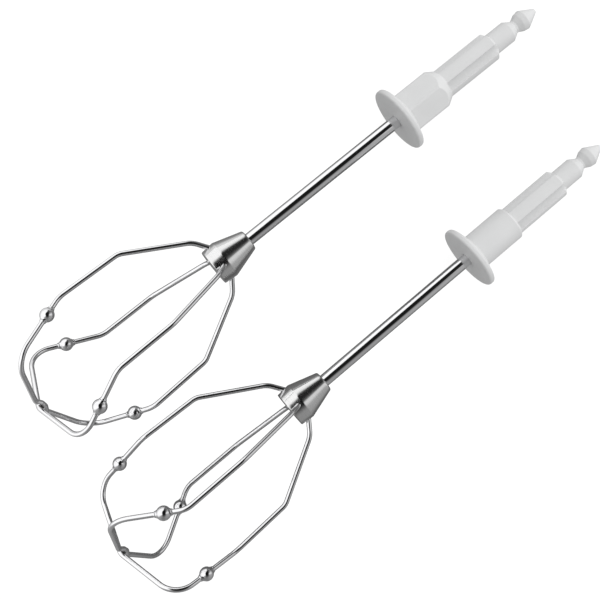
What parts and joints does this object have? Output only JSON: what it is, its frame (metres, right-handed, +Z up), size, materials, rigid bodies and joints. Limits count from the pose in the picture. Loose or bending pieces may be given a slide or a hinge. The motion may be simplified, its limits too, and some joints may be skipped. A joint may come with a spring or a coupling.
{
  "type": "hand mixer beater pair",
  "caption": "Pair of opposite-handed wire-cage beaters with threaded steel balls, conical steel hubs, thin shafts and plastic drive shanks with a splash disc.",
  "frame": {"origin": "middle of the footprint, on the table", "axes": "+X along the shafts towards the drive tips, +Y towards beater a, +Z up"},
  "size_m": [0.2244, 0.1037, 0.0527],
  "materials": {
    "shank_plastic": "fine satin moulded",
    "shaft_steel": "polished stainless",
    "hub_steel": "satin turned stainless",
    "wire_steel": "polished stainless",
    "ball_steel": "polished stainless"
  },
  "bodies": {
    "beater_a": {"beater_a_drive_shank": "shank_plastic", "beater_a_shaft": "shaft_steel", "beater_a_hub": "hub_steel", "beater_a_wire_plain": "wire_steel", "beater_a_wire_humped": "wire_steel", "beater_a_cross_weld": "wire_steel"},
    "beater_b": {"beater_b_drive_shank": "shank_plastic", "beater_b_shaft": "shaft_steel", "beater_b_hub": "hub_steel", "beater_b_wire_plain": "wire_steel", "beater_b_wire_humped": "wire_steel", "beater_b_cross_weld": "wire_steel"},
    "beater_a_ball_plain_1": {"beater_a_ball_plain_1": "ball_steel"},
    "beater_a_ball_plain_2": {"beater_a_ball_plain_2": "ball_steel"},
    "beater_a_ball_humped_1": {"beater_a_ball_humped_1": "ball_steel"},
    "beater_a_ball_humped_2": {"beater_a_ball_humped_2": "ball_steel"},
    "beater_b_ball_plain_1": {"beater_b_ball_plain_1": "ball_steel"},
    "beater_b_ball_plain_2": {"beater_b_ball_plain_2": "ball_steel"},
    "beater_b_ball_humped_1": {"beater_b_ball_humped_1": "ball_steel"},
    "beater_b_ball_humped_2": {"beater_b_ball_humped_2": "ball_steel"}
  },
  "joints": [
    {"name": "beater_b_put_aside", "type": "slide", "parent": "beater_a", "child": "beater_b", "axis": [0, -1, 0], "range_m": [0, 0.06]},
    {"name": "beater_a_ball_plain_1_spin", "type": "hinge", "parent": "beater_a", "child": "beater_a_ball_plain_1", "pos_m": [-0.08147, 0.01609, 0.04788], "axis": [-0.8994, -0.4136, -0.1414], "continuous": true},
    {"name": "beater_a_ball_plain_2_spin", "type": "hinge", "parent": "beater_a", "child": "beater_a_ball_plain_2", "pos_m": [-0.08622, 0.03829, 0.00688], "axis": [-0.8433, 0.4136, 0.3431], "continuous": true},
    {"name": "beater_a_ball_humped_1_spin", "type": "hinge", "parent": "beater_a", "child": "beater_a_ball_humped_1", "pos_m": [-0.07866, 0.04873, 0.03567], "axis": [-0.7914, -0.3133, 0.5249], "continuous": true},
    {"name": "beater_a_ball_humped_2_spin", "type": "hinge", "parent": "beater_a", "child": "beater_a_ball_humped_2", "pos_m": [-0.08069, 0.00565, 0.01812], "axis": [-0.8904, 0.3133, -0.3302], "continuous": true},
    {"name": "beater_b_ball_plain_1_spin", "type": "hinge", "parent": "beater_b", "child": "beater_b_ball_plain_1", "pos_m": [-0.09495, -0.00441, 0.02118], "axis": [-0.9231, -0.1744, -0.3427], "continuous": true},
    {"name": "beater_b_ball_plain_2_spin", "type": "hinge", "parent": "beater_b", "child": "beater_b_ball_plain_2", "pos_m": [-0.09265, -0.04908, 0.03515], "axis": [-0.8183, 0.151, 0.5546], "continuous": true},
    {"name": "beater_b_ball_humped_1_spin", "type": "hinge", "parent": "beater_b", "child": "beater_b_ball_humped_1", "pos_m": [-0.08694, -0.02202, 0.0503], "axis": [-0.8741, 0.4698, -0.1231], "continuous": true},
    {"name": "beater_b_ball_humped_2_spin", "type": "hinge", "parent": "beater_b", "child": "beater_b_ball_humped_2", "pos_m": [-0.09233, -0.03136, 0.00501], "axis": [-0.8064, -0.4924, 0.3276], "continuous": true}
  ]
}
